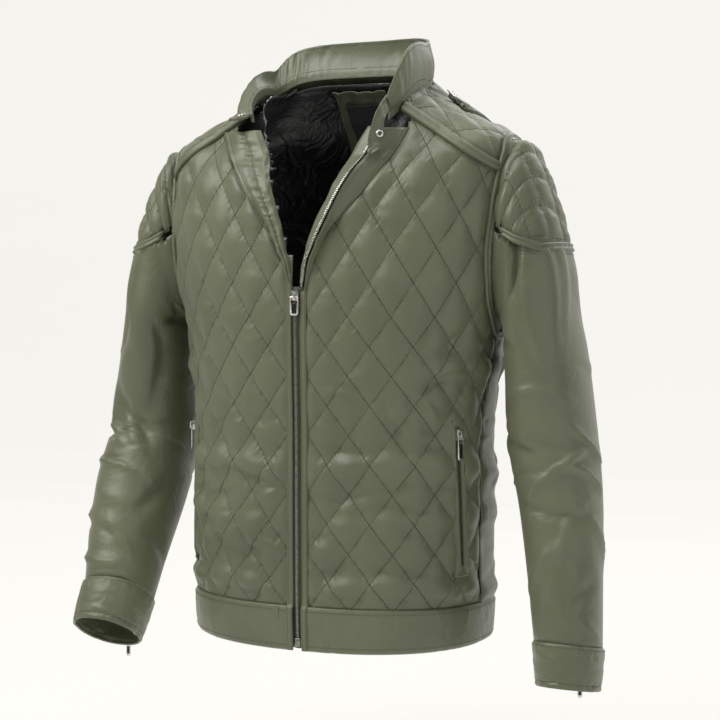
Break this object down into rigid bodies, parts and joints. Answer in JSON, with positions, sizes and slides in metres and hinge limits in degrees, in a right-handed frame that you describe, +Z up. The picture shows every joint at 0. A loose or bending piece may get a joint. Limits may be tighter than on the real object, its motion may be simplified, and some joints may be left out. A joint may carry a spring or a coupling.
{
  "type": "quilted jacket",
  "caption": "Short zip-up quilted jacket in its worn shape, open at the neck: diamond-quilted body, plain sleeves with quilted caps, gathered stand collar, plain hem band and zipped cuffs.",
  "frame": {"origin": "centre of the neck at shoulder-neck height, where the wearer's shoulders carry the jacket", "axes": "+Z up along the body, -Y towards the front zip, +X towards the wearer's left"},
  "size_m": [0.6532, 0.3119, 0.7806],
  "materials": {
    "quilted_cloth": "olive nylon with a soft gloss, quilted in diamonds over thin filling",
    "plain_cloth": "the same olive nylon, plain, with twin topstitching at its seams",
    "lining": "black lining with a satin gloss",
    "label": "black woven patch, bare",
    "zip_metal": "bright nickel plating",
    "dark_metal": "black nickel zip parts",
    "zip_tape": "dark woven zip tape and thread"
  },
  "bodies": {
    "jacket": {"front_left": "quilted_cloth", "front_right": "quilted_cloth", "back": "quilted_cloth", "side_panel_left": "plain_cloth", "side_panel_right": "plain_cloth", "yoke_left": "quilted_cloth", "yoke_right": "quilted_cloth", "yoke_welt_left": "plain_cloth", "back_yoke_welt_left": "plain_cloth", "armhole_welt_left": "plain_cloth", "yoke_welt_right": "plain_cloth", "back_yoke_welt_right": "plain_cloth", "armhole_welt_right": "plain_cloth", "pocket_welt_left": "plain_cloth", "pocket_welt_right": "plain_cloth", "hem_band": "plain_cloth", "sleeve_left": "plain_cloth", "forearm_left": "plain_cloth", "sleeve_cap_left": "quilted_cloth", "cap_welt_left": "plain_cloth", "sleeve_cap_right": "quilted_cloth", "cap_welt_right": "plain_cloth", "cuff_left": "plain_cloth", "sleeve_right": "plain_cloth", "forearm_right": "plain_cloth", "cuff_right": "plain_cloth", "collar": "plain_cloth", "collar_tab_right": "plain_cloth", "collar_tab_left": "plain_cloth", "snap_stud": "zip_metal", "snap_socket": "zip_metal", "placket_left": "plain_cloth", "placket_right": "plain_cloth", "facing_left": "plain_cloth", "flap_right": "plain_cloth", "zip_tape": "zip_tape", "zip_chain": "zip_metal", "open_chain_left": "zip_metal", "open_chain_right": "zip_metal", "front_slider": "zip_metal", "bottom_stop": "zip_metal", "pocket_chain_left": "dark_metal", "pocket_slider_left": "dark_metal", "pocket_chain_right": "dark_metal", "pocket_slider_right": "dark_metal", "cuff_zip_left": "zip_tape", "cuff_slider_left": "dark_metal", "cuff_zip_right": "zip_tape", "cuff_slider_right": "dark_metal", "lining": "lining", "neck_facing": "plain_cloth", "label": "label", "size_tab": "label", "hem_loop": "zip_tape"},
    "front_tab": {"front_slider_tab": "zip_metal"},
    "pocket_tab_left": {"pocket_slider_left_tab": "dark_metal"},
    "pocket_tab_right": {"pocket_slider_right_tab": "dark_metal"},
    "cuff_tab_left": {"cuff_slider_left_tab": "dark_metal"},
    "cuff_tab_right": {"cuff_slider_right_tab": "dark_metal"}
  },
  "joints": [
    {"name": "front_tab_hinge", "type": "hinge", "parent": "jacket", "child": "front_tab", "pos_m": [0, -0.14706, -0.24775], "axis": [-1, 0, 0], "range_deg": [0, 150]},
    {"name": "pocket_tab_left_hinge", "type": "hinge", "parent": "jacket", "child": "pocket_tab_left", "pos_m": [0.1747, -0.07059, -0.40581], "axis": [-0.4833, -0.8755, 0], "range_deg": [0, 130]},
    {"name": "pocket_tab_right_hinge", "type": "hinge", "parent": "jacket", "child": "pocket_tab_right", "pos_m": [-0.1747, -0.07059, -0.40581], "axis": [-0.4833, 0.8755, 0], "range_deg": [0, 130]},
    {"name": "cuff_tab_left_hinge", "type": "hinge", "parent": "jacket", "child": "cuff_tab_left", "pos_m": [0.2958, 0.0079, -0.69246], "axis": [1, 0, 0], "range_deg": [0, 140]},
    {"name": "cuff_tab_right_hinge", "type": "hinge", "parent": "jacket", "child": "cuff_tab_right", "pos_m": [-0.254, -0.08851, -0.67352], "axis": [1, 0, 0], "range_deg": [0, 140]}
  ]
}
